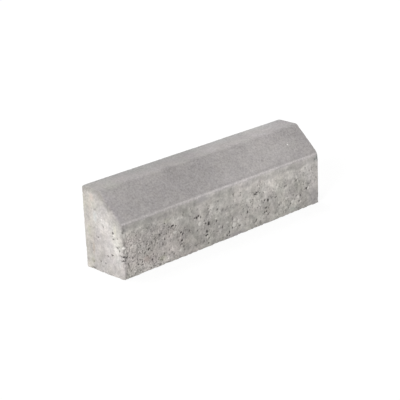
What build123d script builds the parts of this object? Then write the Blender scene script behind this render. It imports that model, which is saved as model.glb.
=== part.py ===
import os
from math import atan, degrees
from build123d import *

# Concrete kerb stone, pressed in one piece: an oblong block whose top edge on
# the road side is cut back by a splay of about 43 degrees.
# Millimetres. X runs along the kerb line, -Y is the road side, +Y the footway
# side, +Z is up. The origin is the middle of the bed face.

# Block
length = 500.0
width = 100.0
height = 150.0

# Splay between the flat top and the road face
splay_run = 53.0
splay_drop = 50.0

# Arrises along the length
crest_radius = 10.0
nose_radius = 4.0
back_arris_radius = 3.0

# Arris round each end, from one bed edge over the top to the other
end_arris_radius = 3.0

# Blowholes: size of the mouth, and depth
round_radius = 2.3
round_depth = 2.8
large_radius = 3.1
large_depth = 4.2
flat_length = 9.2
flat_height = 3.8
flat_depth = 3.2
tall_width = 3.4
tall_height = 5.6
tall_depth = 2.6
small_length = 6.0
small_height = 3.0
small_depth = 2.2

# Floor of a blowhole, as a share of its mouth
floor_share = 0.4

# Blowholes that open on both sides of the near upright arris
corner_reach = 4.4
corner_height = 3.0

# Places in the road face, as shares of the length and of that face's height
flat_shares = [(-0.274, 0.66), (-0.23, 0.33), (-0.154, 0.64), (0.15, 0.67)]
round_shares = [
    (-0.458, 0.355), (-0.436, 0.2), (-0.386, 0.405), (-0.37, 0.19), (-0.234, 0.48), (-0.1, 0.08),
    (-0.111, 0.47), (-0.056, 0.43), (0.008, 0.125), (0.202, 0.32), (0.195, 0.24), (0.429, 0.39),
    (0.386, 0.19), (0.264, 0.67),
]
tall_shares = [(-0.31, 0.475), (-0.104, 0.3), (-0.027, 0.275), (0.104, 0.37), (0.338, 0.2)]
large_shares = [(-0.098, 0.44), (0.211, 0.46)]

# Places in the left end, as shares of the width, towards the road, and of the height
small_shares = [(0.275, 0.537), (0.23, 0.263), (0.1, 0.23), (-0.135, 0.42), (-0.28, 0.023)]

# Heights on the near upright arris, as shares of the road face's height
corner_shares = [0.435, 0.355]

# Places that follow from the sizes above
road_face_y = -width / 2
back_face_y = width / 2
crest_y = road_face_y + splay_run
road_face_height = height - splay_drop
left_end_x = -length / 2
road_side = Plane(origin=(0, road_face_y, 0), x_dir=(1, 0, 0), z_dir=(0, -1, 0))
left_end = Plane(origin=(left_end_x, 0, 0), x_dir=(0, -1, 0), z_dir=(-1, 0, 0))


def places(shares, long_side, tall_side):
    # Places on a face from shares of its two sides
    return [(along * long_side, up * tall_side) for along, up in shares]


def sink(narrow_side, depth):
    # Cuts the mouths just drawn into the stone, closing in towards a smaller floor
    taper = degrees(atan(narrow_side / 2 * (1 - floor_share) / depth))
    extrude(amount=-depth, taper=taper, mode=Mode.SUBTRACT)


os.makedirs("parts", exist_ok=True)

with BuildPart() as kerb_stone:
    # Section across the kerb, drawn as (place across the kerb, height)
    with BuildSketch(Plane.YZ) as section:
        with BuildLine() as outline:
            bed = Line((road_face_y, 0), (back_face_y, 0))
            back = Line(bed @ 1, (back_face_y, height))
            flat_top = Line(back @ 1, (crest_y, height))
            splay = Line(flat_top @ 1, (road_face_y, road_face_height))
            road_face = Line(splay @ 1, bed @ 0)
        make_face()
        eased_corners = [
            (flat_top @ 1, crest_radius),
            (splay @ 1, nose_radius),
            (back @ 1, back_arris_radius),
        ]
        for corner, radius in eased_corners:
            fillet(section.vertices().sort_by_distance(corner)[0], radius)
    extrude(amount=length / 2, both=True)

    # The press leaves the bed edges sharp and the rest of each end's rim eased
    end_rims = kerb_stone.faces().filter_by(Axis.X).edges()
    bed_edges = kerb_stone.faces().sort_by(Axis.Z)[0].edges()
    fillet(end_rims - bed_edges, radius=end_arris_radius)

    # Air trapped in the mix leaves its largest blowholes in the road face
    with BuildSketch(road_side):
        with Locations(*places(round_shares, length, road_face_height)):
            Circle(round_radius)
    sink(2 * round_radius, round_depth)
    with BuildSketch(road_side):
        with Locations(*places(large_shares, length, road_face_height)):
            Circle(large_radius)
    sink(2 * large_radius, large_depth)
    with BuildSketch(road_side):
        with Locations(*places(flat_shares, length, road_face_height)):
            SlotOverall(flat_length, flat_height)
    sink(flat_height, flat_depth)
    with BuildSketch(road_side):
        with Locations(*places(tall_shares, length, road_face_height)):
            SlotOverall(tall_height, tall_width, rotation=90)
    sink(tall_width, tall_depth)

    # And a few in the left end and on its arris
    with BuildSketch(left_end):
        with Locations(*places(small_shares, width, height)):
            SlotOverall(small_length, small_height)
    sink(small_height, small_depth)
    with Locations(*[(left_end_x, road_face_y, up * road_face_height) for up in corner_shares]):
        Cylinder(corner_reach, corner_height, mode=Mode.SUBTRACT)

kerb_stone.part.label = "kerb_stone"
export_step(kerb_stone.part, "parts/kerb_stone.step")
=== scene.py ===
import math
import bmesh
import bpy
from mathutils import Matrix, Vector


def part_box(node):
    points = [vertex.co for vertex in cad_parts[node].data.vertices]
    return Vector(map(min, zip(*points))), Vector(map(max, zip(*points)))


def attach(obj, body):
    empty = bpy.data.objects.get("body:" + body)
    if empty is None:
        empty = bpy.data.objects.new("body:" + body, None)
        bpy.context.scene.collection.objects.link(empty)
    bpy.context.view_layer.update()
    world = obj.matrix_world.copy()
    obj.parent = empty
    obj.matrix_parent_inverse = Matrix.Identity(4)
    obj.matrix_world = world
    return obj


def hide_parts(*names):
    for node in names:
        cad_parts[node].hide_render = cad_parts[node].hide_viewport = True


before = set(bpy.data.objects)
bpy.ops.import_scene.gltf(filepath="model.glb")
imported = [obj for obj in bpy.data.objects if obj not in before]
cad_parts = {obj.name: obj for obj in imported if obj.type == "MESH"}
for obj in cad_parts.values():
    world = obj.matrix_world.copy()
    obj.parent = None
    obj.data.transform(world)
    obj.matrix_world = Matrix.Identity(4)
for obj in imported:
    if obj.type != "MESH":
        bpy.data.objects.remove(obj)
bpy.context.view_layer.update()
mm = 1000.0                         # patterns are worked out in millimetres, the frame is in metres

# The kerb stone: one pressed block, fine facing mix on top, open backing mix below it.
# Sizes are in mm. x runs from the middle along the kerb, y from the middle to the footway, z up.
kerb = {
    "gridSize": 1.1,                # how fine the skin is cut before it is shaped
    "trianglesKept": 192000,
    "splayRun": 53.0,
    "splayDrop": 50.0,
    "inset": 0.06,                  # keeps the whole skin inside the solid
    "holeOpens": 0.85,              # how open the mix is round a listed blowhole
    "voidShare": 0.80,              # share of the air voids that the skin cuts where it is fully open
    "smallestVoid": 0.3,            # shares of the full radius and depth
    "shallowestVoid": 0.4,
    "crumbSize": 9.0,
    "fineWearLess": 0.7,            # the fine mix crumbles this much less
    "backFootWearLess": 0.9,        # and so does the foot of the back
    "backCornerLess": 0.7,          # the corners at the back are this much less round
    "breakGrain": 4.0,              # raggedness of a broken place
    "relief": {
        "seed": 7.0,
        "waveHeight": 0.30,         # the mould is a little out of true
        "waveSize": 80.0,
        "stoneSize": 7.5,           # one stone of the backing with its coat of paste
        "stoneSink": 0.55,
        "pitSize": 6.0,             # ragged gaps between the stones
        "pitDepth": 2.0,
        "speckSize": 3.0,
        "speckDepth": 0.7,
        "voidSpacing": 6.4,         # round air voids
        "voidRadius": 1.9,
        "voidDepth": 1.9,
        "wearDepth": 1.4,           # crumbled arrises
        "wearReach": 3.5,
        "cornerDepth": 1.3,         # corners worn round
        "cornerReach": 8.0,
    },
    # The dark of a hole shows on the camera's side of its mouth. So the mouth lies these shares
    # of its depth further along and lower
    "holeLean": (0.55, -0.38),
    "deepFrom": 2.9,                # holes from this depth are looked up apart from shallow ones
    # Blowholes that stand out in the road face: x, z, half width, half height, depth
    "roadHoles": [
        (-248.5, 51, 1.3, 4.2, 1.3), (-240.5, 47, 1.3, 4.2, 1.6), (-249, 43.5, 3.8, 1.4, 4.6),
        (-243.5, 41, 2.6, 1.5, 3.8), (-250, 36, 3.4, 1.1, 3.2), (-229, 35.5, 2.2, 2.2, 1.9),
        (-233, 31, 2.6, 1.8, 1.4), (-239, 26, 1.8, 2.6, 2.0), (-217, 54, 1.4, 2.6, 1.8),
        (-208, 57.5, 1.4, 2.2, 1.6), (-237, 66, 1.6, 2.0, 1.2), (-222, 65, 2.6, 1.2, 1.2),
        (-218, 20, 2.4, 1.8, 3.0), (-209, 16.5, 4.0, 1.6, 2.4), (-211, 26.5, 3.6, 1.4, 2.0),
        (-217, 32.5, 1.8, 1.6, 1.6), (-202, 34, 1.6, 2.8, 1.8), (-193, 40.5, 2.2, 2.2, 3.2),
        (-195, 50, 2.0, 2.6, 2.2), (-185, 19, 2.6, 2.4, 3.2), (-182, 23, 2.0, 1.6, 1.8),
        (-177, 42, 4.2, 1.8, 1.5), (-183, 60, 1.8, 2.0, 1.5), (-184, 72.5, 2.2, 1.8, 1.6),
        (-172, 77, 3.4, 1.6, 1.4), (-181, 77.5, 2.0, 1.4, 1.2), (-172, 54, 2.4, 2.2, 1.6),
        (-166, 35, 1.4, 1.8, 1.6), (-162, 60, 2.2, 1.2, 1.6), (-167, 4.5, 4.0, 1.8, 2.2),
        (-155, 47.5, 2.2, 2.6, 2.4), (-138, 17.5, 3.0, 2.4, 1.8), (-136.5, 66.5, 3.9, 2.1, 4.0),
        (-143.5, 66.3, 2.2, 2.0, 2.8), (-127.5, 63.5, 2.0, 1.8, 2.5), (-135, 60, 1.5, 1.2, 1.2),
        (-117, 47.8, 2.4, 2.2, 3.4), (-124.5, 47, 1.3, 1.6, 1.6), (-111.5, 43.8, 2.6, 2.2, 3.2),
        (-115, 33, 3.0, 1.8, 2.9), (-115, 25.5, 4.4, 1.6, 2.4), (-110, 20, 2.2, 2.0, 2.4),
        (-109, 12, 2.0, 1.8, 1.6), (-108.5, 78, 2.2, 2.0, 1.8), (-94.5, 45, 1.8, 3.4, 2.2),
        (-90, 84, 1.8, 1.8, 1.5), (-94, 73.5, 1.8, 1.8, 1.5), (-77.6, 64.2, 2.6, 2.4, 3.8),
        (-82.6, 65.2, 2.2, 2.0, 3.1), (-73, 66, 2.7, 1.8, 3.4), (-77, 56, 1.4, 1.8, 1.2),
        (-67, 62.8, 2.0, 2.2, 3.1), (-57, 59.5, 1.6, 1.2, 1.4), (-55.5, 47.5, 2.2, 2.2, 3.2),
        (-49, 44.8, 3.4, 2.6, 4.6), (-53, 30.8, 3.2, 3.2, 3.8), (-53.8, 24, 4.8, 1.9, 3.4),
        (-48, 16.5, 1.8, 2.4, 2.2), (-60.5, 15, 2.0, 2.6, 2.2), (-54, 13.5, 1.8, 2.0, 1.6),
        (-50, 8, 2.2, 1.8, 2.6), (-47, 33, 1.2, 2.8, 1.4), (-80, 12, 4.2, 1.8, 1.6),
        (-25, 64.5, 2.4, 1.8, 2.2), (-28, 43, 2.4, 2.4, 2.4), (-13.5, 27.8, 1.6, 3.2, 2.8),
        (-18, 26.5, 2.4, 2.0, 0.9), (-27, 22.5, 2.2, 1.6, 1.6), (-4.5, 57, 2.4, 2.2, 1.8),
        (8, 52, 2.0, 1.6, 1.2), (16.5, 81.5, 2.6, 2.6, 2.1), (36, 79.5, 1.8, 1.8, 1.5),
        (24.5, 69.5, 2.0, 1.0, 1.2), (51.5, 38.2, 1.8, 3.2, 3.6), (11.5, 19, 1.9, 2.1, 2.4),
        (31, 17.5, 2.8, 1.8, 2.2), (4, 12.5, 2.0, 2.6, 2.6), (-2, 8, 2.2, 2.0, 2.2),
        (3, 6.5, 2.8, 2.0, 2.2), (71.5, 66.0, 4.0, 1.7, 2.7), (78.4, 68.5, 3.6, 1.3, 3.1),
        (86, 65.8, 2.4, 1.0, 2.0), (95.5, 62.5, 1.9, 1.5, 1.8), (79, 54, 1.4, 1.4, 1.2),
        (97.5, 47.8, 2.1, 2.4, 3.4), (105.5, 46, 3.1, 3.5, 4.8), (90.5, 48.5, 1.6, 1.8, 2.0),
        (95, 44, 1.8, 1.8, 1.8), (78.5, 38.8, 1.9, 1.5, 2.7), (101, 32.2, 2.6, 2.2, 3.6),
        (108, 30, 2.0, 1.7, 3.0), (110.5, 34.5, 1.5, 2.6, 2.0), (97.5, 24, 2.0, 2.0, 2.6),
        (102.5, 25, 2.0, 1.7, 2.6), (106.5, 17.5, 2.4, 1.8, 2.6), (127.5, 45, 4.0, 1.8, 2.3),
        (132, 67, 2.4, 1.8, 1.6), (120, 64, 1.8, 1.2, 1.0), (154, 59.5, 3.4, 2.4, 1.8),
        (138, 27, 2.0, 2.0, 2.5), (144, 27.5, 2.6, 2.2, 1.2), (185.5, 32.5, 2.2, 1.7, 2.5),
        (197, 29.8, 1.9, 1.9, 2.4), (193, 19, 2.6, 2.0, 2.4), (200, 21, 1.4, 2.2, 1.6),
        (169, 20.5, 2.0, 2.4, 2.4), (163, 14, 2.2, 2.4, 2.4), (193, 5, 3.0, 1.4, 1.6),
        (213, 39.5, 2.4, 2.4, 3.6), (212.5, 14.5, 3.4, 1.4, 1.8), (212, 81, 3.2, 1.6, 1.4),
        (75, 16, 2.2, 2.6, 2.7), (69.5, 12, 3.2, 2.2, 1.7), (242, 54, 2.2, 2.0, 1.5),
        (223.5, 71.5, 2.4, 2.4, 1.6), (230.5, 73, 1.8, 3.4, 1.6), (239.5, 90.5, 3.2, 1.7, 1.8),
        (-187, 79, 1.8, 1.4, 1.2), (-206, 39, 1.2, 2.4, 1.4), (-198, 31, 1.4, 1.6, 1.4),
        (-186.5, 35.5, 2.0, 1.6, 1.8), (-239.5, 8, 2.2, 1.6, 1.4), (-164, 66, 1.6, 3.0, 1.5),
        (-167, 50.5, 2.2, 1.8, 1.8), (-182.5, 47.5, 1.8, 1.6, 1.6), (-182.5, 64.5, 1.6, 2.2, 1.5),
        (-144, 14.5, 2.6, 2.2, 1.5), (-182, 5, 1.8, 1.8, 1.9), (-223, 5.5, 3.4, 1.2, 1.4),
        (-212.5, 69, 1.5, 2.6, 1.3), (-217, 45.5, 1.6, 1.3, 1.4), (-210, 48, 1.6, 1.5, 1.4),
        (-72, 79, 2.4, 1.2, 1.4), (-64.5, 38.5, 2.2, 2.2, 1.5), (-75, 37.5, 3.2, 1.6, 1.2),
        (-13, 52, 2.6, 1.3, 1.4), (-12, 59, 1.6, 1.8, 1.4), (12, 92.5, 2.4, 1.8, 1.2),
        (10.5, 62, 1.8, 1.8, 1.4), (1.5, 63, 2.4, 2.2, 1.5), (26, 58, 3.0, 2.6, 1.2),
        (57, 33, 2.0, 1.6, 1.2), (78, 58.5, 2.2, 1.3, 1.6), (88, 37, 2.4, 1.5, 1.6),
        (110, 26, 1.8, 1.3, 1.5), (13, 34, 2.0, 1.8, 1.6), (24.5, 31.5, 2.2, 1.6, 1.6),
        (25.5, 15.5, 1.4, 2.0, 1.6), (47.5, 14.5, 2.2, 1.2, 1.4), (139, 67, 1.6, 2.2, 1.4),
        (157, 65, 2.6, 1.3, 1.4), (186, 61.5, 2.2, 2.0, 1.5), (149, 34.5, 1.6, 1.4, 1.4),
        (132.5, 23.5, 2.6, 1.4, 1.6), (185, 9.5, 1.6, 1.4, 1.5), (216.5, 63, 2.0, 2.0, 1.3),
        (232, 66, 3.0, 1.4, 1.4), (227.5, 21, 2.4, 2.0, 1.2), (245, 93, 1.6, 3.0, 1.7),
    ],
    # The same in the left end: y, z, half width, half height, depth
    "endHoles": [
        (-26.5, 81, 3.2, 2.4, 3.2), (-25.5, 75, 1.9, 1.8, 2.2), (-28, 70, 3.4, 1.5, 2.8),
        (-37, 73.5, 1.8, 2.4, 1.8), (-36.5, 56.5, 3.6, 1.5, 2.8), (-42, 59.5, 3.0, 1.3, 2.4),
        (-41, 52, 1.9, 2.5, 2.6), (-22.5, 39.5, 3.8, 1.7, 3.0), (-10, 34.5, 3.2, 2.3, 2.1),
        (-1.5, 86.5, 3.6, 1.8, 1.7), (14, 63.5, 3.6, 2.2, 1.5), (4, 64.5, 2.4, 1.6, 1.5),
        (10, 20, 3.4, 2.2, 2.0), (-2.5, 20, 3.0, 2.2, 1.8), (30, 35.5, 3.4, 1.9, 1.5),
        (32, 47, 2.8, 1.8, 1.4), (17, 112.5, 3.2, 1.8, 1.6), (28, 3.5, 3.6, 2.0, 2.6),
        (29, 15, 3.0, 2.0, 1.8), (32, 60.5, 3.2, 1.8, 1.3), (-45.5, 43.5, 3.4, 1.4, 3.2),
        (-46, 34.5, 3.4, 1.1, 2.8), (-38, 41, 2.0, 1.2, 1.2),
    ],
    # Stones that show in the road face: x, z, half width, half height, how deep their rim lies
    "roadStones": [
        (-129.5, 51.5, 4.4, 3.8, 0.9), (-120.5, 75, 4.2, 3.0, 0.5), (-117, 14.5, 4.6, 4.0, 0.8),
        (-68, 50, 5.0, 4.2, 1.1), (18, 22.5, 6.4, 5.0, 1.0), (30, 26.5, 5.0, 4.2, 0.8),
        (18, 32.5, 2.8, 2.6, 0.6), (0, 32, 3.6, 2.8, 0.6), (-21.5, 31, 3.2, 2.8, 0.6),
        (-52, 20, 2.4, 2.2, 0.6), (-29, 48.5, 3.4, 2.6, 0.5), (82, 50, 2.6, 2.6, 1.1),
        (87.8, 51.5, 2.6, 2.4, 1.1), (87, 41, 2.8, 2.6, 1.1), (102, 20.5, 2.6, 2.4, 0.8),
        (136.5, 67, 2.6, 2.2, 0.5), (176, 22, 5.4, 4.2, 0.8), (192.5, 27, 3.6, 3.0, 0.7),
        (158, 34, 4.0, 3.0, 0.5), (156, 16, 4.6, 3.4, 0.5), (180.5, 11.5, 3.6, 2.8, 0.6),
        (221, 37.5, 3.2, 3.8, 1.5), (-209, 63, 2.4, 1.8, 0.5), (-244, 50, 2.1, 3.4, 0.8),
        (-244.5, 79, 2.6, 5.0, 0.4), (-121.3, 49.3, 1.4, 1.5, 0.5), (-206.5, 47, 1.8, 1.6, 0.4),
        (-186.5, 6.5, 3.4, 1.8, 0.5), (-221, 55, 1.6, 1.8, 0.4), (-193, 10, 2.6, 2.2, 0.5),
    ],
    # Broken places on the arrises: x, y, z of the middle of the break, and its radius
    "breaks": [
        (-252, -52, 55, 4.6), (-252, -52, 49, 4.0), (-252, -52, 39.5, 3.8), (-252, -52, 29, 4.2),
        (-252, -52, 20, 3.6), (-252, -52, 11, 4.2), (-252, -34, 118, 4.4), (-120, -52, -2, 4.5),
        (60, -52, -2, 4.0), (180, -52, -2, 4.8), (-200, -52, -2, 3.8), (-30, -52, -2, 3.6),
        (251, -52, 90, 4.2), (252, 20, 152, 4.0), (-60, 52, -2, 5.0), (140, 52, -2, 4.2),
        (252, -10, -2, 4.5), (-252, 28, -2, 4.4), (252, 52, 60, 4.0), (-252, 51.5, 143, 3.6),
    ],
}

concrete = {
    "top": (0.3735, 0.3522, 0.3466),    # fine mix on the flat and the splay
    "backing": (0.480, 0.457, 0.4285),  # coarse mix
    "rim": (0.405, 0.386, 0.366),       # fine mix where it shows in the road and back faces
    "endRim": (0.306, 0.290, 0.274),    # and in the ends
    "stone": (0.66, 0.64, 0.60),        # listed stones
    "stoneCover": 0.75,
    "roughness": 0.92,
    # The hue drifts between mauve and yellow: pattern's size in mm, strength, how much less on the splay
    "mauve": (28.0, 0.42, 0.30),
    "yellow": (24.0, 0.40, 0.10),
    "endYellowMore": 0.25,
    # Light and dark patterns of the mix: size in mm, turn, detail, roughness
    "drifts": {
        "cloud": (60.0, 21.0, 3.0, 0.55),
        "mottle": (15.0, 22.0, 2.0, 0.55),
        "lumps": (7.0, 26.0, 2.0, 0.55),
        "grain": (3.6, 23.0, 3.0, 0.65),
        "dust": (0.9, 24.0, 1.0, 0.55),
    },
    # How strong they are on the fine mix, and what is added on the coarse one
    "swings": {
        "cloud": (0.40, 0.20),
        "mottle": (0.20, 0.60),
        "lumps": (0.26, 0.34),
        "grain": (1.05, -0.35),
    },
    "dustSwing": 0.30,
    "smearSwing": 0.12,                 # smears of paste are paler by this share than what lies bare
    "nosePale": 0.40,                   # how much paler the nose is where it is wholly rubbed
    "nosePlain": 0.70,                  # how rubbed it is anywhere, and what is added in the middle
    "noseMiddle": 0.30,
    "faceUnderNose": 0.20,              # the same for the road face under it
    "faceUnderMiddle": 0.46,
    "endRimPaintedShade": 0.06,                 # painted shade: how much darker the near end's rims and upright arris are made, against the light they catch
    "nearArrisPaintedShade": 0.11,
    "lineDark": 0.045,                  # and the faint lines along the splay
    "paleStones": 0.14,                 # stones that show through their paste
    "darkStones": 0.10,
    "gritSize": 3.4,
    "paleGrit": 0.20,
    "darkGrit": 0.24,
    "splayGrit": 0.6,                   # how much of the grit shows at the far end of the top
    "hollowPaintedShade": 0.68,                 # painted shade: how dark the deepest hollows are made
    "endHollowShadeLess": 0.04,
    # painted shade in the specks, and the most painted shade anywhere
    "speckPaintedShade": 0.32,
    "mostPaintedShade": 0.82,
    "bumpStrength": 0.7,
    "bumpDistance": 0.0006,             # m
    "bumpSize": 1.3,
    # Stains: centre x, y, z in mm, half sizes, colour, strength
    "stains": [
        ((-250, 27, 40), (6, 5, 16), (0.44, 0.36, 0.29), 0.40),
        ((-250, 24, 134), (6, 7, 10), (0.62, 0.51, 0.46), 0.40),
        ((-250, 31, 120), (6, 6, 12), (0.52, 0.46, 0.42), 0.35),
        ((-250, 18, 100), (6, 7, 14), (0.56, 0.60, 0.59), 0.40),
        ((-250, -32, 84), (6, 5, 14), (0.64, 0.61, 0.50), 0.35),
        ((-250, 36, 72), (6, 7, 12), (0.50, 0.49, 0.38), 0.35),
        ((-250, 30, 17), (6, 7, 8), (0.40, 0.39, 0.31), 0.40),
        ((-197, -50, 23), (10, 6, 8), (0.46, 0.38, 0.35), 0.55),
        ((-161, -50, 13), (12, 6, 7), (0.46, 0.45, 0.35), 0.45),
        ((-147, -50, 78), (14, 6, 7), (0.46, 0.45, 0.37), 0.35),
        ((243, -50, 92), (8, 8, 9), (0.32, 0.35, 0.34), 0.45),
        ((176, -50, 8), (22, 6, 7), (0.38, 0.41, 0.38), 0.35),
        ((193.2, -22.6, 125.8), (2.2, 2.6, 2.6), (0.92, 0.91, 0.89), 1.0),
        ((240, -50, 14), (24, 8, 22), (0.425, 0.400, 0.405), 0.6),
        ((20, -50, 2), (34, 8, 8), (0.41, 0.385, 0.39), 0.6),
        ((-60, -50, 93), (22, 6, 6), (0.42, 0.395, 0.40), 0.6),
        ((-246.5, -50, 58.5), (6, 5, 3.4), (0.86, 0.83, 0.79), 0.85),
        ((-250, -50, 40), (4, 4, 2.4), (0.80, 0.77, 0.73), 0.75),
        ((-243.5, -50, 50.5), (1.9, 4, 3.4), (0.74, 0.71, 0.67), 0.6),
    ],
    # Places with a hue of their own: centre x, y, z in mm, half sizes, what colours are multiplied by
    "tints": [
        ((-195, -50, 44), (118, 14, 44), (1.019, 0.992, 1.004)),
        ((-98, -50, 10), (44, 14, 26), (1.012, 0.995, 1.000)),
        ((0, 50, 150), (340, 27, 12), (0.974, 1.007, 1.002)),
        ((-250, 0, 70), (14, 110, 160), (1.008, 0.999, 1.027)),
        ((240, 30, 150), (90, 40, 14), (0.992, 1.000, 1.014)),
        ((-250, 42, 75), (14, 28, 110), (1.000, 1.006, 0.966)),
        ((-250, -42, 80), (14, 26, 40), (0.992, 1.004, 0.980)),
        ((-250, 32, 125), (14, 20, 34), (1.002, 0.999, 0.990)),
        ((-250, 12, 134), (14, 26, 28), (0.990, 1.002, 0.968)),
        ((-250, -42, 45), (14, 22, 26), (0.984, 1.003, 0.984)),
        ((-228, 28, 150), (40, 44, 12), (0.986, 1.002, 0.976)),
        ((236, -50, 62), (36, 14, 56), (1.003, 1.000, 1.026)),
        ((190, -50, 93), (34, 14, 9), (1.014, 0.997, 1.012)),
    ],
    # Paler and darker stretches: centre x, y, z in mm, half sizes, share lighter or darker
    "stretches": [
        ((-76, -24, 125), (110, 45, 45), -0.13), ((-190, -24, 125), (70, 45, 30), -0.05),
        ((-56, 26, 150), (76, 40, 20), -0.09), ((-190, 36, 150), (80, 24, 20), -0.06),
        ((118, -24, 125), (86, 45, 45), 0.09), ((150, 26, 150), (84, 40, 20), 0.08),
        ((190, 44, 150), (90, 14, 12), 0.05), ((78, 10, 150), (50, 14, 12), 0.08),
        ((236, -30, 125), (40, 60, 40), -0.05), ((-180, -50, 88), (120, 12, 20), -0.11),
        ((80, -50, 92), (150, 10, 12), 0.14), ((150, -50, 82), (70, 14, 10), 0.10),
        ((105, -50, 74), (60, 14, 26), 0.12), ((-112, -50, 70), (18, 14, 10), -0.16),
        ((-37, -50, 66), (22, 14, 24), 0.20), ((62, -50, 54), (22, 14, 30), 0.15),
        ((122, -50, 60), (24, 14, 12), 0.14), ((198, -50, 80), (26, 14, 20), 0.08),
        ((-216, -50, 60), (36, 14, 12), 0.05), ((-92, -50, 48), (34, 14, 40), -0.17),
        ((-18, -50, 40), (26, 14, 15), -0.13), ((-68, -50, 14), (34, 14, 18), -0.18),
        ((-138, -50, 14), (26, 14, 18), 0.14), ((-190, -50, 7), (60, 14, 14), 0.20),
        ((-240, -50, 76), (10, 14, 16), 0.12), ((110, -50, 24), (20, 14, 18), -0.10),
        ((137, -50, 9), (20, 14, 12), 0.15), ((187, -50, 22), (20, 14, 16), 0.14),
        ((238, -50, 18), (26, 14, 22), -0.14), ((-250, -12, 86), (14, 24, 26), 0.20),
        ((-250, -2, 99), (14, 30, 16), 0.14), ((-250, 24, 92), (14, 14, 14), 0.14),
        ((-250, 12, 106), (14, 14, 9), 0.10), ((-250, 12, 143), (14, 8, 7), 0.14),
        ((-250, -26, 76), (14, 8, 10), 0.12), ((-250, -45, 47), (14, 9, 8), 0.10),
        ((-250, 35, 14), (14, 12, 12), -0.08), ((-250, -36, 6), (14, 9, 8), -0.10),
        ((-250, -36, 60), (14, 18, 22), 0.30), ((-250, 16, 128), (14, 10, 14), 0.10),
        ((-250, 4, 136), (14, 8, 10), -0.14), ((-250, 30, 146), (14, 22, 8), 0.18),
        ((-250, 46, 70), (14, 8, 90), -0.07), ((-250, 0, 6), (14, 60, 16), -0.13),
        ((-250, -44, 10), (14, 16, 20), -0.22), ((-250, 20, 60), (14, 16, 16), -0.16),
        ((-250, 8, 30), (14, 46, 30), -0.08), ((-250, -4, 35), (14, 14, 14), -0.14),
        ((-250, 36, 22), (14, 14, 16), -0.12), ((-250, 38, 102), (14, 12, 22), -0.16),
        ((-226, -50, 93), (26, 14, 8), -0.10), ((-105, -50, 80), (26, 14, 12), -0.15),
        ((15, -50, 80), (26, 14, 12), -0.08), ((55, -50, 60), (26, 14, 14), 0.12),
        ((135, -50, 62), (26, 14, 16), 0.14), ((135, -50, 86), (24, 14, 16), 0.12),
        ((95, -50, 94), (24, 14, 8), -0.09), ((175, -50, 94), (24, 14, 8), -0.12),
        ((222, -50, 60), (28, 14, 16), 0.11), ((-208, -50, 40), (60, 14, 15), -0.10),
        ((-95, -50, 40), (50, 14, 15), -0.09), ((15, -50, 40), (28, 14, 14), -0.12),
        ((95, -50, 40), (28, 14, 14), -0.16), ((95, -50, 16), (28, 14, 18), 0.16),
        ((-228, -50, 15), (28, 14, 18), 0.13), ((175, -50, 16), (28, 14, 18), 0.08),
        ((-105, -50, 16), (26, 14, 18), -0.08), ((-37, -50, 60), (24, 14, 30), 0.06),
        ((190, 20, 150), (90, 60, 20), 0.06), ((-110, 40, 150), (150, 24, 20), -0.04),
        ((-90, -10, 140), (40, 22, 16), -0.10), ((-180, -36, 114), (90, 30, 26), -0.06),
        ((100, -42, 108), (60, 16, 14), 0.07), ((-250, -18, 112), (14, 22, 12), 0.12),
        ((-250, -34, 46), (14, 18, 16), 0.07), ((-250, -10, 74), (14, 20, 18), 0.06),
        ((-250, 33, 14), (14, 18, 20), -0.06), ((210, -8, 142), (50, 18, 12), -0.08),
        ((-90, 3, 149), (38, 17, 10), -0.08), ((-30, -6, 142), (36, 9, 9), -0.08),
        ((210, 3, 149), (36, 10, 8), -0.04), ((90, 3, 149), (40, 15, 10), 0.07),
        ((-250, 38, 75), (14, 18, 96), -0.05), ((232, -50, 64), (34, 14, 52), 0.06),
        ((104, -50, 70), (30, 14, 26), 0.06), ((90, -50, 15), (42, 14, 18), 0.06),
        ((-146, -50, 15), (30, 14, 16), 0.07), ((205, -50, 40), (40, 14, 14), 0.04),
    ],
    # Small pale and dark patches in the road face: x, z, half width, half height, share
    "patches": [
        (-30, 100, 60, 5, 0.07), (-150, 100, 50, 5, 0.05), (214, 90, 14, 14, 0.12),
        (205, 82, 9, 16, 0.05), (-237, 70, 10, 8, 0.08), (-87, 82, 14, 8, -0.08),
        (-87, 44, 12, 16, -0.07), (-62, 42, 14, 9, -0.08), (-187, 34, 14, 10, -0.08),
        (12, 10, 12, 8, -0.08), (-137, 70, 14, 8, -0.06), (87, 26, 12, 8, 0.08), (88, 10, 14, 8, 0.14),
        (187, 66, 14, 18, 0.11), (210, 54, 16, 12, 0.10), (140, 10, 26, 8, 0.08), (186, 10, 16, 8, 0.08),
        (-222, 82, 17, 7, 0.10), (-228, 64, 9, 8, 0.10), (-142, 40, 18, 16, 0.08), (-210, 22, 9, 8, 0.07),
        (-133, 24, 13, 10, 0.08), (-64, 63, 16, 9, 0.07), (-77, 52, 15, 12, 0.08),
        (-35, 82, 24, 14, 0.06), (32, 73, 16, 16, 0.07), (64, 85, 20, 9, 0.10), (18, 23, 15, 11, 0.07),
        (77, 40, 20, 14, 0.06), (123, 81, 34, 13, 0.06), (84, 56, 20, 10, 0.08), (197, 76, 20, 13, 0.10),
        (168, 75, 24, 8, 0.08), (148, 41, 20, 11, 0.05), (175, 17, 20, 12, 0.08), (107, 96, 14, 7, 0.05),
        (83, 79, 18, 9, 0.10), (233, 46, 10, 15, 0.08), (-14, 8, 14, 9, 0.12), (-195, 77, 12, 14, -0.07),
        (-102, 51, 12, 20, -0.10), (-104, 18, 20, 14, -0.08), (-246, 74, 7, 22, -0.10),
        (-76, 13, 15, 12, -0.08), (-161, 36, 14, 10, -0.08), (-187, 34, 12, 9, -0.10),
        (-201, 37, 12, 9, -0.07), (-240, 21, 16, 13, -0.08), (-211, 78, 8, 8, -0.06),
        (-4, 57, 22, 14, -0.08), (19, 41, 26, 9, -0.08), (-61, 94, 20, 7, -0.08), (17, 3, 18, 7, -0.12),
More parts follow.
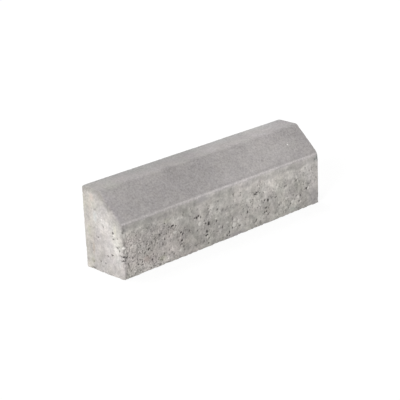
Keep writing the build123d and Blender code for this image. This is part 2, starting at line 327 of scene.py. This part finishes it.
        (-55, 11, 18, 14, -0.10), (-30, 22, 15, 9, -0.08), (170, 90, 20, 7, -0.12),
        (225, 71, 11, 11, -0.11), (156, 64, 20, 10, -0.10), (184, 48, 26, 12, -0.06),
        (236, 20, 16, 16, -0.08), (92, 12, 20, 14, -0.07), (106, 26, 20, 14, -0.07),
        (-250, 31, 5, 6, 0.10), (-249, 104, 6, 3, -0.12), (150, 97, 34, 6, -0.05),
    ],
}


class Wire:
    # A node's output, so that sums on nodes read as plain sums
    def __init__(self, sheet, socket):
        self.sheet = sheet
        self.socket = socket

    def __add__(self, other):
        return self.sheet.math("ADD", self, other)

    def __radd__(self, other):
        return self.sheet.math("ADD", other, self)

    def __sub__(self, other):
        return self.sheet.math("SUBTRACT", self, other)

    def __rsub__(self, other):
        return self.sheet.math("SUBTRACT", other, self)

    def __mul__(self, other):
        return self.sheet.math("MULTIPLY", self, other)

    def __rmul__(self, other):
        return self.sheet.math("MULTIPLY", other, self)

    def __truediv__(self, other):
        return self.sheet.math("DIVIDE", self, other)

    def __rtruediv__(self, other):
        return self.sheet.math("DIVIDE", other, self)

    def __gt__(self, other):
        return self.sheet.math("GREATER_THAN", self, other)

    def __lt__(self, other):
        return self.sheet.math("LESS_THAN", self, other)


class NodeSheet:
    # A node tree to write on, a shader's or a shape's
    def __init__(self, tree):
        self.tree = tree

    def put(self, kind, settings, inputs, outputs=0):
        node = self.tree.nodes.new(kind)
        for name, value in settings.items():
            setattr(node, name, value)
        for key, value in inputs.items():
            if isinstance(value, Wire):
                self.tree.links.new(value.socket, node.inputs[key])
            else:
                node.inputs[key].default_value = value
        if isinstance(outputs, tuple):
            return [Wire(self, node.outputs[key]) for key in outputs]
        return Wire(self, node.outputs[outputs])

    def math(self, operation, *values):
        return self.put("ShaderNodeMath", {"operation": operation}, dict(enumerate(values)))

    def least(self, first, *others):
        for value in others:
            first = self.math("MINIMUM", first, value)
        return first

    def most(self, first, *others):
        for value in others:
            first = self.math("MAXIMUM", first, value)
        return first

    def vector(self, operation, *values):
        output = 1 if operation == "LENGTH" else 0
        return self.put("ShaderNodeVectorMath", {"operation": operation}, dict(enumerate(values)), output)

    def scaled(self, value, factor):
        return self.put("ShaderNodeVectorMath", {"operation": "SCALE"}, {"Vector": value, "Scale": factor})

    def split(self, value):
        return self.put("ShaderNodeSeparateXYZ", {}, {0: value}, (0, 1, 2))

    def ramp(self, value, low, high):           # 0 at low, 1 at high, eased at both
        return self.put("ShaderNodeMapRange", {"interpolation_type": "SMOOTHSTEP"},
                        {0: value, 1: low, 2: high})

    def within(self, place, centre, reach, whole):
        # 1 up to this share of the reach round a place, fading to 0 where the reach ends
        offset = self.vector("DIVIDE", self.vector("SUBTRACT", place, centre), reach)
        return self.ramp(self.vector("LENGTH", offset), 1.0, whole)

    def shifted(self, place, turn):             # another part of the same endless pattern
        return self.vector("ADD", place, (turn * 61.0, turn * 37.0, turn * 23.0))

    def noise(self, place, size, turn, detail=2.0, rough=0.55):
        return self.put("ShaderNodeTexNoise", {},
                        {"Vector": self.shifted(place, turn), "Scale": 1.0 / size,
                         "Detail": detail, "Roughness": rough})

    def shaken(self, place, size, reach, turn):
        # The pattern stays mostly within a quarter of its middle, so four times that is the reach
        colour = self.put("ShaderNodeTexNoise", {},
                          {"Vector": self.shifted(place, turn), "Scale": 1.0 / size, "Detail": 1.0}, 1)
        centred = self.vector("SUBTRACT", colour, (0.5, 0.5, 0.5))
        return self.vector("ADD", place, self.scaled(centred, 4.0 * reach))

    def cells(self, place, size, turn):
        return self.put("ShaderNodeTexVoronoi", {"feature": "F1"},
                        {"Vector": self.shifted(place, turn), "Scale": 1.0 / size}, ("Distance", "Color"))


# What pushes a pattern off its even places: how wide the push is and how far it reaches, in mm
pushes = {
    "gaps": (9.0, 1.0),
    "stones": (6.0, 0.8),
    "voids": (5.0, 0.5),
    "rims": (4.0, 1.0),
    "stretches": (40.0, 4.0),
    "patches": (9.0, 1.4),
    "stains": (8.0, 0.8),
}

# Where the fine mix gives way to the coarse one, in mm, and how open that is, from 0 to 1
mix = {
    "fineWhole": 6.5,               # the fine mix is whole down to here under the top
    "fineGone": 12.5,               # and gone from here
    "endWholeLess": 3.0,            # in the ends it starts to go this much higher
    "endGoneMore": 2.5,             # and is gone this much lower
    "endFineLess": 0.60,            # and it shows this much less there below the top
    "edgeSize": 24.0,               # its ragged lower edge
    "edgeDepth": 12.0,
    "endEdgeLess": 4.0,
    "smearSize": 34.0,              # smears of paste that close the coarse mix
    "smearedOpen": 0.25,            # how open it stays under them
    "leftBare": 0.9,                # the left end of the road face has hardly any
    "plainOpen": 0.55,              # how open it is anywhere, and what is added low down and at the left
    "lowOpen": 0.17,
    "leftOpen": 0.28,
    "endClosed": 0.75,              # the ends are this much more closed
    "gapLimit": 0.70,               # a gap is where its pattern passes this
    "openLimitLess": 0.13,          # less this much where the mix is fully open
}


def kerbPlaces(sheet, place):
    # Way in from each face of the block
    low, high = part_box("kerb_stone")
    size = (high - low) * mm
    x, y, z = sheet.split(place)
    toEnd = size.x / 2 - sheet.math("ABSOLUTE", x)
    toRoad = y + size.y / 2
    toBack = size.y / 2 - y
    underFlat = size.z - z
    run, drop = kerb["splayRun"], kerb["splayDrop"]
    belowNose = size.z - drop - z
    underSplay = (toRoad * drop + belowNose * run) / math.hypot(run, drop)
    underTop = sheet.least(underSplay, underFlat)
    return {"x": x, "y": y, "z": z, "toEnd": toEnd, "toRoad": toRoad, "toBack": toBack,
            "underFlat": underFlat, "underTop": underTop, "belowNose": belowNose}


def pressedPattern(sheet, place, size, opened=0.0):
    # What the relief and the colours share: where the fine mix, the gaps and the stones are
    where = kerbPlaces(sheet, place)
    spot = sheet.vector("ADD", place, sheet.scaled((31.0, 17.0, 11.0), size["seed"]))
    onEnd = sheet.ramp(where["toEnd"], 4.0, 1.0)
    ragged = sheet.noise(spot, mix["edgeSize"], 1.0, 3.0, 0.6) - 0.5
    ragged = ragged * (mix["edgeDepth"] - mix["endEdgeLess"] * onEnd)
    mixDepth = where["underTop"] + ragged
    facing = sheet.ramp(mixDepth, mix["fineGone"] + mix["endGoneMore"] * onEnd,
                        mix["fineWhole"] - mix["endWholeLess"] * onEnd)
    facing = facing * (1.0 - onEnd * mix["endFineLess"] * sheet.ramp(where["z"], 132.0, 108.0))

    # Open low down and towards the left, closed where paste is smeared over it, nearly closed on the ends
    left = sheet.ramp(where["x"], -90.0, -175.0) * (1.0 - 0.6 * sheet.ramp(where["y"], 10.0, 45.0))
    bare = sheet.ramp(sheet.noise(spot, mix["smearSize"], 2.0, 2.0, 0.55), 0.40, 0.58)
    low = sheet.ramp(where["z"], 100.0, 45.0)
    smeared = mix["smearedOpen"]
    side = smeared + (1.0 - smeared) * sheet.most(bare, mix["leftBare"] * left)
    side = side * (mix["plainOpen"] + mix["lowOpen"] * low + mix["leftOpen"] * left)
    openness = sheet.most(side * (1.0 - mix["endClosed"] * onEnd) * (1.0 - facing), opened)

    gaps = sheet.noise(sheet.shaken(spot, *pushes["gaps"], 3.0), size["pitSize"], 4.0, 3.0, 0.6)
    limit = mix["gapLimit"] - mix["openLimitLess"] * openness
    pits = sheet.ramp(gaps, limit, limit + 0.10) * sheet.ramp(openness, 0.02, 0.15)
    fine = sheet.noise(spot, size["speckSize"], 5.0, 2.0, 0.6)
    specks = sheet.ramp(fine, limit - 0.03, limit + 0.08) * sheet.ramp(openness, 0.05, 0.35)
    stoneWay, stoneKind = sheet.cells(sheet.shaken(spot, *pushes["stones"], 6.0), size["stoneSize"], 6.0)
    return {"where": where, "spot": spot, "facing": facing, "open": openness, "onEnd": onEnd, "low": low,
            "bare": bare, "pits": pits, "specks": specks, "stoneWay": stoneWay, "stoneKind": stoneKind}


def nearFaces(sheet, faces):
    # Way to the nearest, the second and the third nearest face
    first, second = sheet.least(*faces[:2]), sheet.most(*faces[:2])
    third = 1000.0                              # further than any way within the block
    for other in faces[2:]:
        third = sheet.least(third, sheet.most(second, other))
        second = sheet.least(second, sheet.most(first, other))
        first = sheet.least(first, other)
    return first, second, third


def nearestMark(sheet, holder, spot):
    # The loose point closest to a spot: the way from it, and its half sizes and depth
    marks = sheet.put("GeometryNodeObjectInfo", {}, {"Object": holder}, "Geometry")
    index = sheet.put("GeometryNodeSampleNearest", {"domain": "POINT"},
                      {"Geometry": marks, "Sample Position": spot})
    found = {}
    for name, kind in (("middle", "FLOAT_VECTOR"), ("reach", "FLOAT_VECTOR"), ("depth", "FLOAT")):
        value = sheet.put("GeometryNodeInputNamedAttribute", {"data_type": kind}, {"Name": name})
        found[name] = sheet.put("GeometryNodeSampleIndex", {"data_type": kind, "domain": "POINT"},
                                {"Geometry": marks, "Value": value, "Index": index})
    found["way"] = sheet.vector("SUBTRACT", spot, found["middle"])
    found["share"] = sheet.vector("LENGTH", sheet.vector("DIVIDE", found["way"], found["reach"]))
    return found


def keepOnSkin(sheet, skin, name, value, kind="FLOAT"):
    # Stores a value at each point of the skin, for the material to read
    return sheet.put("GeometryNodeStoreNamedAttribute", {"data_type": kind, "domain": "POINT"},
                     {"Geometry": skin, "Name": name, "Value": value})


def broadTints(sheet, place):
    # What the colour is multiplied by, from the places with a hue of their own
    tint = (1.0, 1.0, 1.0)
    for centre, reach, factors in concrete["tints"]:
        inside = sheet.within(place, centre, reach, 0.5)
        change = sheet.scaled([factor - 1.0 for factor in factors], inside)
        tint = sheet.vector("MULTIPLY_ADD", tint, change, tint)
    return tint


def roundHollow(sheet, share):
    # How deep a round hollow is at a share of its radius: 1 in the middle, 0 from the rim on
    return sheet.math("SQRT", sheet.most(0.0, 1.0 - share * share))


def buildReliefTree():
    tree = bpy.data.node_groups.new("pressedRelief", "GeometryNodeTree")
    sheet = NodeSheet(tree)
    face = tree.interface
    face.new_socket(name="Geometry", in_out="INPUT", socket_type="NodeSocketGeometry")
    for name in ("holes", "pocks", "stones", "breaks"):
        face.new_socket(name=name, in_out="INPUT", socket_type="NodeSocketObject")
    face.new_socket(name="finish", in_out="INPUT", socket_type="NodeSocketMaterial")
    for name in kerb["relief"]:
        face.new_socket(name=name, in_out="INPUT", socket_type="NodeSocketFloat")
    face.new_socket(name="Geometry", in_out="OUTPUT", socket_type="NodeSocketGeometry")
    groupInput = tree.nodes.new("NodeGroupInput")
    given = {socket.name: Wire(sheet, socket) for socket in groupInput.outputs if socket.name}

    position = sheet.put("GeometryNodeInputPosition", {}, {})
    place = sheet.scaled(position, mm)

    # The listed blowholes have torn rims, and the mix is open round them
    torn = sheet.scaled(sheet.shaken(place, *pushes["rims"], 13.0), 1 / mm)
    hole = nearestMark(sheet, given["holes"], torn)
    pock = nearestMark(sheet, given["pocks"], torn)
    opened = sheet.ramp(sheet.least(hole["share"], pock["share"]), 2.8, 1.2) * kerb["holeOpens"]
    pattern = pressedPattern(sheet, place, given, opened)
    spot, where, openness = pattern["spot"], pattern["where"], pattern["open"]

    waves = sheet.ramp(sheet.noise(spot, given["waveSize"], 11.0, 1.0), 0.3, 0.7) * given["waveHeight"]
    stones = sheet.ramp(pattern["stoneWay"], 0.25, 0.75) * openness * given["stoneSink"]
    pits = pattern["pits"] * given["pitDepth"]
    specks = pattern["specks"] * given["speckDepth"]

    # Round voids, which the skin cuts at any height
    voidWay, voidKind = sheet.cells(sheet.shaken(spot, *pushes["voids"], 12.0), given["voidSpacing"], 12.0)
    bulk, luck = sheet.split(voidKind)[:2]
    smallest, shallowest = kerb["smallestVoid"], kerb["shallowestVoid"]
    ownRadius = given["voidRadius"] * (smallest + (1.0 - smallest) * bulk * bulk)
    bowl = roundHollow(sheet, voidWay * given["voidSpacing"] / ownRadius)
    voids = bowl * (luck < openness * kerb["voidShare"]) * given["voidDepth"]
    voids = voids * (shallowest + (1.0 - shallowest) * bulk)
    sink = waves + sheet.most(stones + specks, pits, voids)
    for mark in (hole, pock):
        sink = sheet.most(sink, roundHollow(sheet, mark["share"]) * mark["depth"])

    # The listed stones stand clear of the hollows and have a crevice round each
    stone = nearestMark(sheet, given["stones"], torn)
    crevice = sheet.ramp(stone["share"], 0.70, 1.0) * sheet.ramp(stone["share"], 1.5, 1.05)
    inStone = sheet.ramp(stone["share"], 1.0, 0.75)
    sink = sheet.most(sink * (1.0 - inStone), crevice * stone["depth"])

    # An arris is where two faces are close, a corner where three are
    faces = [where["toEnd"], where["toRoad"], where["toBack"], where["underTop"]]
    way, second, third = nearFaces(sheet, faces)
    crumbled = sheet.ramp(sheet.noise(spot, kerb["crumbSize"], 14.0, 3.0, 0.6), 0.46, 0.66)
    onArris = sheet.ramp(sheet.least(second, sheet.most(way, where["z"])), given["wearReach"], 0.0)
    wear = onArris * crumbled * given["wearDepth"] * (1.0 - kerb["fineWearLess"] * pattern["facing"])
    backFoot = sheet.ramp(where["toBack"], 12.0, 4.0) * sheet.ramp(where["z"], 14.0, 4.0)
    wear = wear * (1.0 - kerb["backFootWearLess"] * backFoot)
    worn = sheet.ramp(third, given["cornerReach"], 0.0) * given["cornerDepth"]
    worn = worn * (1.0 - kerb["backCornerLess"] * sheet.ramp(where["toBack"], 25.0, 15.0))
    sink = sink + wear + worn

    normal = sheet.put("GeometryNodeInputNormal", {}, {})
    inward = sheet.scaled(normal, (sink + kerb["inset"]) * (-1 / mm))
    skin = keepOnSkin(sheet, given["Geometry"], "hollow", sink - waves - worn)
    skin = keepOnSkin(sheet, skin, "stone", inStone)
    skin = keepOnSkin(sheet, skin, "tint", broadTints(sheet, place), "FLOAT_VECTOR")
    skin = sheet.put("GeometryNodeSetPosition", {}, {"Geometry": skin, "Offset": inward})

    # A break is pushed back to a ragged ball round its middle
    broken = nearestMark(sheet, given["breaks"], position)
    ball = broken["depth"] * (0.55 + 0.9 * sheet.noise(place, kerb["breakGrain"], 15.0)) / mm
    missing = sheet.most(0.0, ball - sheet.vector("LENGTH", broken["way"]))
    push = sheet.scaled(sheet.vector("NORMALIZE", broken["way"]), missing)
    skin = sheet.put("GeometryNodeSetPosition", {}, {"Geometry": skin, "Offset": push})
    skin = sheet.put("GeometryNodeRealizeInstances", {}, {"Geometry": skin})
    skin = sheet.put("GeometryNodeSetMaterial", {}, {"Geometry": skin, "Material": given["finish"]})
    output = tree.nodes.new("NodeGroupOutput")
    tree.links.new(skin.socket, output.inputs[0])
    return tree


def addMarks(name, marks):
    # Loose points in mm that carry their half sizes and a depth
    mesh = bpy.data.meshes.new(name)
    mesh.from_pydata([Vector(middle) / mm for middle, reach, depth in marks], [], [])
    for label, kind, column in (("middle", "FLOAT_VECTOR", 0), ("reach", "FLOAT_VECTOR", 1)):
        layer = mesh.attributes.new(label, kind, "POINT")
        layer.data.foreach_set("vector", [part / mm for mark in marks for part in mark[column]])
    mesh.attributes.new("depth", "FLOAT", "POINT").data.foreach_set("value", [mark[2] for mark in marks])
    holder = bpy.data.objects.new(name, mesh)
    bpy.context.scene.collection.objects.link(holder)
    return holder


def countTriangles(mesh):
    return sum(len(polygon.vertices) - 2 for polygon in mesh.polygons)


def plainBlock(solid):
    # The solid with its blowholes filled, because the relief makes them again with torn rims
    shell = bmesh.new()
    for vertex in solid.data.vertices:
        shell.verts.new(vertex.co)
    bmesh.ops.remove_doubles(shell, verts=shell.verts, dist=0.01 / mm)
    hull = bmesh.ops.convex_hull(shell, input=shell.verts)
    inside = [part for part in hull["geom_interior"] if isinstance(part, bmesh.types.BMVert)]
    bmesh.ops.delete(shell, geom=inside, context="VERTS")
    mesh = bpy.data.meshes.new("plainBlock")
    shell.to_mesh(mesh)
    shell.free()
    return mesh


def buildKerb(finish):
    skin = bpy.data.objects.new("kerbSkin", plainBlock(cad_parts["kerb_stone"]))
    bpy.context.scene.collection.objects.link(skin)
    recut = skin.modifiers.new("recut", "REMESH")
    recut.mode = "VOXEL"
    recut.voxel_size = kerb["gridSize"] / mm
    recut.use_smooth_shade = True

    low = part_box("kerb_stone")[0] * mm
    along, down = kerb["holeLean"]
    onRoad = [((x + along * depth, low.y, z + down * depth), (wide, wide, tall), depth)
              for x, z, wide, tall, depth in kerb["roadHoles"]]
    onEnd = [((low.x, y + along * depth, z + down * depth), (wide, wide, tall), depth)
             for y, z, wide, tall, depth in kerb["endHoles"]]
    stones = [((x, low.y, z), (wide, wide, tall), depth) for x, z, wide, tall, depth in kerb["roadStones"]]
    breaks = [((x, y, z), (1.0, 1.0, 1.0), radius) for x, y, z, radius in kerb["breaks"]]
    hollows = onRoad + onEnd
    marks = {"holes": addMarks("holeMarks", [mark for mark in hollows if mark[2] >= kerb["deepFrom"]]),
             "pocks": addMarks("pockMarks", [mark for mark in hollows if mark[2] < kerb["deepFrom"]]),
             "stones": addMarks("stoneMarks", stones), "breaks": addMarks("breakMarks", breaks)}
    shape = skin.modifiers.new("relief", "NODES")
    shape.node_group = buildReliefTree()
    values = {**marks, "finish": finish, **kerb["relief"]}
    for item in shape.node_group.interface.items_tree:
        if item.in_out == "INPUT" and item.name in values:
            shape[item.identifier] = values[item.name]

    graph = bpy.context.evaluated_depsgraph_get()
    cut = countTriangles(skin.evaluated_get(graph).data)
    print("kerb skin is cut into", cut, "triangles")
    thin = skin.modifiers.new("thin", "DECIMATE")
    thin.ratio = min(1.0, kerb["trianglesKept"] / cut)
    graph = bpy.context.evaluated_depsgraph_get()
    mesh = bpy.data.meshes.new_from_object(skin.evaluated_get(graph), depsgraph=graph)
    mesh.name = "kerbStone"
    for spent in (skin, *marks.values()):
        bpy.data.objects.remove(spent)
    mesh.shade_smooth()
    piece = bpy.data.objects.new("kerbStone", mesh)
    bpy.context.scene.collection.objects.link(piece)
    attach(piece, "root")
    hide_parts("kerb_stone")
    print("kerb stone has", countTriangles(mesh), "triangles")


def colourMix(sheet, share, first, second):
    return sheet.put("ShaderNodeMix", {"data_type": "RGBA", "blend_type": "MIX"},
                     {0: share, 6: first if isinstance(first, Wire) else (*first, 1.0),
                      7: second if isinstance(second, Wire) else (*second, 1.0)}, 2)


def fromSkin(sheet, name, output="Fac"):
    # What the relief stored on the skin under this name
    return sheet.put("ShaderNodeAttribute", {"attribute_name": name}, {}, output)


def buildConcrete():
    material = bpy.data.materials.new("pressedConcrete")
    material.use_nodes = True
    tree = material.node_tree
    shader = tree.nodes["Principled BSDF"]
    sheet = NodeSheet(tree)
    place = sheet.scaled(sheet.put("ShaderNodeTexCoord", {}, {}, "Object"), mm)
    pattern = pressedPattern(sheet, place, kerb["relief"])
    spot, where = pattern["spot"], pattern["where"]
    hollow = fromSkin(sheet, "hollow")

    # The fine mix is mauve grey on the pressed top and greyer where it turns down the sides
    onTop = sheet.ramp(where["underTop"], 3.2, 1.6) * sheet.ramp(where["toEnd"], 0.2, 2.2)
    rim = colourMix(sheet, sheet.ramp(where["toEnd"], 9.0, 4.0), concrete["rim"], concrete["endRim"])
    colour = colourMix(sheet, pattern["facing"], concrete["backing"], rim)
    colour = colourMix(sheet, onTop, colour, concrete["top"])

    # Mauve lifts red and blue and takes green away, yellow takes blue away, both less on the splay.
    # Then comes the hue of each place
    onSplay = onTop * sheet.ramp(where["underFlat"], 0.5, 4.0)
    size, strength, less = concrete["mauve"]
    mauve = (sheet.noise(spot, size, 41.0, 2.0) - 0.5) * (strength - less * onSplay)
    size, strength, less = concrete["yellow"]
    yellow = sheet.noise(spot, size, 43.0, 2.0) - 0.5
    yellow = yellow * (strength + concrete["endYellowMore"] * pattern["onEnd"] - less * onSplay)
    hue = sheet.put("ShaderNodeCombineXYZ", {},
                    {0: 1.0 + mauve * 0.11, 1: 1.0 - mauve * 0.08, 2: 1.0 - yellow * 0.20 + mauve * 0.06})
    colour = sheet.vector("MULTIPLY", colour, hue)
    colour = sheet.vector("MULTIPLY", colour, fromSkin(sheet, "tint", "Vector"))

    # Clouds, lumps, grains and dust, lighter and darker
    drifts = {name: sheet.noise(spot, *values) - 0.5 for name, values in concrete["drifts"].items()}
    side = 1.0 - onTop
    coarse = side * (1.0 - 0.5 * pattern["facing"])
    coarse = coarse * (1.0 - pattern["onEnd"] * (0.65 - 0.35 * pattern["low"]))
    tone = 1.0
    for name, (plain, more) in concrete["swings"].items():
        tone = tone + drifts[name] * (plain + more * coarse)
    tone = tone + drifts["dust"] * concrete["dustSwing"]
    tone = tone * (1.0 + side * (0.5 - pattern["bare"]) * concrete["smearSwing"])

    # Broad stretches and small patches at their places
    roadFace, through = -50, 10
    patches = [((x, roadFace, z), (wide, through, tall), share)
               for x, z, wide, tall, share in concrete["patches"]]
    for marks, drifted in ((concrete["stretches"], sheet.shaken(place, *pushes["stretches"], 32.0)),
                           (patches, sheet.shaken(place, *pushes["patches"], 33.0))):
        for centre, reach, share in marks:
            tone = tone * (1.0 + sheet.within(drifted, centre, reach, 0.2) * share)

    # The nose is rubbed pale, most in the middle of the kerb, and the paleness runs on down the road face
    below = where["belowNose"]
    outward = where["toRoad"] - 0.6
    noseWay = sheet.math("SQRT", outward * outward + below * below)
    inMiddle = sheet.ramp(where["x"], -190.0, -90.0)
    above = sheet.ramp(noseWay, 3.4, 0.8) * (concrete["nosePlain"] + concrete["noseMiddle"] * inMiddle)
    under = sheet.ramp(below, 11.0, 1.0) * sheet.ramp(where["toRoad"], 3.0, 1.0)
    under = under * (concrete["faceUnderNose"] + concrete["faceUnderMiddle"] * inMiddle)
    rubbed = sheet.most(above, under * (below > 0.0)) * (1.0 - pattern["onEnd"])
    tone = tone * (1.0 + concrete["nosePale"] * rubbed * (0.7 + sheet.noise(spot, 18.0, 27.0) * 0.6))

    # Painted shade: the rims of the near end and its upright arris are made a little darker, against the
    # light they catch from the left lamp
    lit = sheet.ramp(where["toEnd"], 4.0, 1.5) * sheet.ramp(where["underTop"], 3.0, 1.5)
    tone = tone * (1.0 - concrete["endRimPaintedShade"] * lit * (where["x"] < 0.0))
    arrisPaintedShade = sheet.ramp(where["toRoad"], 2.2, 0.6) * sheet.ramp(where["toEnd"], 0.1, 1.0)
    arrisPaintedShade = arrisPaintedShade * sheet.ramp(where["toEnd"], 8.0, 4.0) * sheet.ramp(where["z"], 58.0, 64.0)
    tone = tone * (1.0 - concrete["nearArrisPaintedShade"] * arrisPaintedShade * (where["x"] < 0.0))

    # A faint dark line on the splay above the nose, and one below the crest
    line = sheet.ramp(noseWay, 3.0, 4.5) * sheet.ramp(noseWay, 8.5, 5.5)
    crest = sheet.ramp(where["underFlat"], 1.4, 2.6) * sheet.ramp(where["underFlat"], 6.5, 4.0)
    tone = tone * (1.0 - concrete["lineDark"] * sheet.most(line, crest) * onTop)

    # Some stones show through their paste, and grit in the open places
    luck = sheet.split(pattern["stoneKind"])[0]
    showing = sheet.ramp(pattern["stoneWay"], 0.50, 0.30) * coarse
    change = concrete["paleStones"] * (luck > 0.86) - concrete["darkStones"] * (luck < 0.10)
    tone = tone * (1.0 + showing * change)
    gritWay, gritKind = sheet.cells(spot, concrete["gritSize"], 28.0)
    luck = sheet.split(gritKind)[0]
    peppered = sheet.ramp(where["x"], 110.0, 210.0) * onTop * concrete["splayGrit"]
    grit = sheet.ramp(gritWay, 0.50, 0.25) * ((0.15 + 0.85 * pattern["open"]) * side + peppered)
    change = concrete["paleGrit"] * (luck > 0.78) - concrete["darkGrit"] * (luck < 0.20)
    tone = tone * (1.0 + grit * change)
    colour = sheet.scaled(colour, tone)
    stained = sheet.shaken(place, *pushes["stains"], 31.0)
    for centre, reach, stain, strength in concrete["stains"]:
        colour = colourMix(sheet, sheet.within(stained, centre, reach, 0.35) * strength, colour, stain)
    pale = fromSkin(sheet, "stone")
    colour = colourMix(sheet, pale * concrete["stoneCover"], colour, concrete["stone"])

    # Painted shade: the colour is darkened in the hollows, the more the deeper they are, and in the
    # specks, for the shade they would hold
    deep = sheet.ramp(hollow, 0.4, 2.15)
    deep = deep * (concrete["hollowPaintedShade"] - concrete["endHollowShadeLess"] * pattern["onEnd"])
    dark = concrete["speckPaintedShade"] * pattern["specks"] * (1.0 - pale) + deep
    dark = sheet.least(dark, concrete["mostPaintedShade"])
    colour = sheet.scaled(colour, 1.0 - dark)
    tree.links.new(colour.socket, shader.inputs["Base Color"])
    shader.inputs["Roughness"].default_value = concrete["roughness"]
    height = sheet.noise(spot, concrete["bumpSize"], 25.0, 3.0, 0.6) * (0.25 + 0.6 * side)
    height = height - pattern["specks"] * 0.8
    bump = sheet.put("ShaderNodeBump", {}, {"Strength": concrete["bumpStrength"],
                                            "Distance": concrete["bumpDistance"], "Height": height})
    tree.links.new(bump.socket, shader.inputs["Normal"])
    print("concrete has", len(tree.nodes), "nodes")
    return material


# The strength of a light is the share of white that a white surface shows under it
studio = {
    "ambient": 0.54,                # soft light from all round
    "floorSize": 12.0,              # from the middle to each side, m
    "floorGlow": 0.86,              # the camera sees the floor white but for the soft shadow
    "floorTone": 0.16,
    "floorBounce": 0.80,            # what the floor throws back at the kerb
    # Towards the lamp, how wide it looks in degrees, light as a share of white
    "lamps": {
        "leftBox": ((-0.90, -0.30, 0.45), 18.0, 0.61),
        "topBox": ((-0.10, 0.50, 0.85), 35.0, 0.32),
    },
}


def finishTree(sheet, kind, surface):
    output = sheet.tree.nodes.new(kind)
    sheet.tree.links.new(surface.socket, output.inputs["Surface"])


def buildFloor():
    size = studio["floorSize"]
    mesh = bpy.data.meshes.new("floor")
    corners = [(-size, -size, 0), (size, -size, 0), (size, size, 0), (-size, size, 0)]
    mesh.from_pydata(corners, [], [(0, 1, 2, 3)])
    floor = bpy.data.objects.new("floor", mesh)
    bpy.context.scene.collection.objects.link(floor)
    material = bpy.data.materials.new("studioFloor")
    material.use_nodes = True
    material.node_tree.nodes.clear()
    sheet = NodeSheet(material.node_tree)
    isCamera = sheet.put("ShaderNodeLightPath", {}, {}, "Is Camera Ray")
    plain = sheet.put("ShaderNodeBsdfDiffuse", {}, {"Color": (*[studio["floorBounce"]] * 3, 1)})
    shown = sheet.put("ShaderNodeBsdfDiffuse", {}, {"Color": (*[studio["floorTone"]] * 3, 1)})
    glow = sheet.put("ShaderNodeEmission", {}, {"Color": (1, 1, 1, 1), "Strength": studio["floorGlow"]})
    lit = sheet.put("ShaderNodeAddShader", {}, {0: shown, 1: glow})
    surface = sheet.put("ShaderNodeMixShader", {}, {0: isCamera, 1: plain, 2: lit})
    finishTree(sheet, "ShaderNodeOutputMaterial", surface)
    mesh.materials.append(material)
    print("floor reaches", size, "m to each side")


def buildLight():
    world = bpy.data.worlds.new("studio")
    bpy.context.scene.world = world
    world.use_nodes = True
    world.node_tree.nodes.clear()
    sheet = NodeSheet(world.node_tree)
    seen = sheet.most(*sheet.put("ShaderNodeLightPath", {}, {},
                                 ("Is Camera Ray", "Is Glossy Ray", "Is Transmission Ray")))
    ambient = sheet.put("ShaderNodeBackground", {}, {"Color": (1, 1, 1, 1), "Strength": studio["ambient"]})
    white = sheet.put("ShaderNodeBackground", {}, {"Color": (1, 1, 1, 1), "Strength": 1.0})
    surface = sheet.put("ShaderNodeMixShader", {}, {0: seen, 1: ambient, 2: white})
    finishTree(sheet, "ShaderNodeOutputWorld", surface)
    for name, (towards, width, level) in studio["lamps"].items():
        lamp = bpy.data.lights.new(name, "SUN")
        lamp.angle = math.radians(width)
        lamp.energy = level * math.pi
        holder = bpy.data.objects.new(name, lamp)
        bpy.context.scene.collection.objects.link(holder)
        holder.location = towards
        holder.rotation_euler = Vector(towards).to_track_quat("Z", "Y").to_euler()
    print("studio has", len(studio["lamps"]), "lamps")


# Camera found from the kerb's corners in the photograph, for its square frame
shot = {
    "aim": (-0.01222, 0.00727, 0.06550),
    "distance": 2.4494,
    "azimuth": -43.476,
    "elevation": 19.806,
    "roll": -2.542,
    "lens": 121.179,                # mm, on a sensor this wide
    "sensor": 36.0,
}


def buildCamera():
    turn, rise, roll = (math.radians(shot[key]) for key in ("azimuth", "elevation", "roll"))
    back = Vector((math.sin(turn) * math.cos(rise), -math.cos(turn) * math.cos(rise), math.sin(rise)))
    level = Vector((0, 0, 1)).cross(back).normalized()
    right = level * math.cos(roll) + back.cross(level) * math.sin(roll)
    data = bpy.data.cameras.new("shot")
    data.lens = shot["lens"]
    data.sensor_width = shot["sensor"]
    camera = bpy.data.objects.new("shot", data)
    bpy.context.scene.collection.objects.link(camera)
    camera.matrix_world = Matrix((right, back.cross(right), back)).transposed().to_4x4()
    camera.location = Vector(shot["aim"]) + back * shot["distance"]
    bpy.context.scene.camera = camera
    print("camera is", shot["distance"], "m from the kerb")


bpy.context.scene.view_settings.view_transform = "Standard"
buildCamera()
buildLight()
buildFloor()
buildKerb(buildConcrete())
